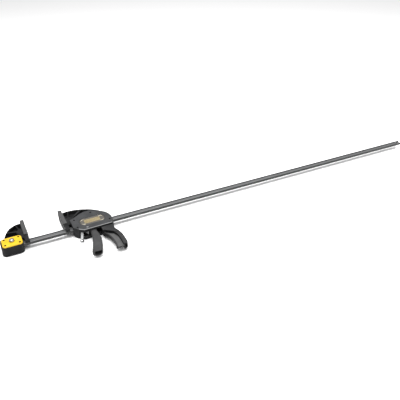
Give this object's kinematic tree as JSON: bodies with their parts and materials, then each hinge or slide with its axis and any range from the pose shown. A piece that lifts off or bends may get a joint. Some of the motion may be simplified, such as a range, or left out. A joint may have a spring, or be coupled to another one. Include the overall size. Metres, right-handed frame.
{
  "type": "trigger bar clamp",
  "caption": "One-handed trigger bar clamp: long I-section steel bar, locked fixed jaw, sliding head with trigger, drive plates and brake lever.",
  "frame": {"origin": "bottom centre of the clamp's box as it lies on its plain side, label side up", "axes": "+X along the bar from the fixed jaw to the free end, +Y towards the jaw tips, +Z out of the label side"},
  "size_m": [1.6, 0.252, 0.045],
  "materials": {
    "bar_steel": "dark oiled rolled steel",
    "pin_steel": "ground steel",
    "plate_steel": "hardened steel",
    "spring_steel": "spring wire",
    "black_nylon": "fine moulded texture",
    "grey_cover": "satin moulded",
    "grey_trigger": "satin moulded",
    "pad_rubber": "soft matte",
    "yellow_plate": "satin yellow",
    "button_chrome": "polished",
    "lever_chrome": "polished",
    "badge_metal": "brushed pale gold",
    "screw_black": "black oxide",
    "guide_acetal": "natural acetal"
  },
  "bodies": {
    "bar_and_fixed_jaw": {"bar": "bar_steel", "bar_stop_pin": "pin_steel", "fixed_jaw_frame": "black_nylon", "lock_plate": "yellow_plate", "lock_plate_screws": "screw_black", "lock_button_spring": "spring_steel", "fixed_jaw_pad": "pad_rubber"},
    "lock_button": {"lock_button": "button_chrome"},
    "sliding_head": {"head_frame": "black_nylon", "left_cover": "grey_cover", "right_cover": "grey_cover", "left_badge": "badge_metal", "right_badge": "badge_metal", "cover_screws": "screw_black", "moving_jaw_pad": "pad_rubber", "front_bar_guide": "guide_acetal", "rear_bar_guide": "guide_acetal", "trigger_pin": "pin_steel", "spring_anchor_pin": "pin_steel", "drive_spring": "spring_steel", "brake_spring": "spring_steel"},
    "trigger": {"trigger": "grey_trigger", "push_pin": "pin_steel"},
    "drive_plates": {"drive_plates": "plate_steel"},
    "brake_lever": {"brake_plate": "plate_steel", "release_lever": "lever_chrome"}
  },
  "joints": [
    {"name": "head_slide", "type": "slide", "parent": "bar_and_fixed_jaw", "child": "sliding_head", "axis": [1, 0, 0], "range_m": [-0.1062, 1.2335]},
    {"name": "lock_button_press", "type": "slide", "parent": "bar_and_fixed_jaw", "child": "lock_button", "axis": [0, 0, 1], "range_m": [-0.0058, 0], "stiffness_N_per_m": 1200, "springref_m": 0.003, "deforming": ["lock_button_spring"]},
    {"name": "trigger_squeeze", "type": "hinge", "parent": "sliding_head", "child": "trigger", "pos_m": [-0.538, 0.044, 0.019], "axis": [0, 0, 1], "range_deg": [0, 9], "stiffness_Nm_per_rad": 3, "springref_deg": -5.73},
    {"name": "drive_plates_slide", "type": "slide", "parent": "sliding_head", "child": "drive_plates", "axis": [1, 0, 0], "range_m": [0, 0.0055]},
    {"name": "brake_release", "type": "hinge", "parent": "sliding_head", "child": "brake_lever", "pos_m": [-0.5565, 0.052, 0.019], "axis": [0, 0, 1], "range_deg": [0, 5], "stiffness_Nm_per_rad": 2, "springref_deg": -5.73}
  ],
  "couplings": [
    {"joint": "drive_plates_slide", "follows": "trigger_squeeze", "m_per_rad": 0.0345}
  ]
}
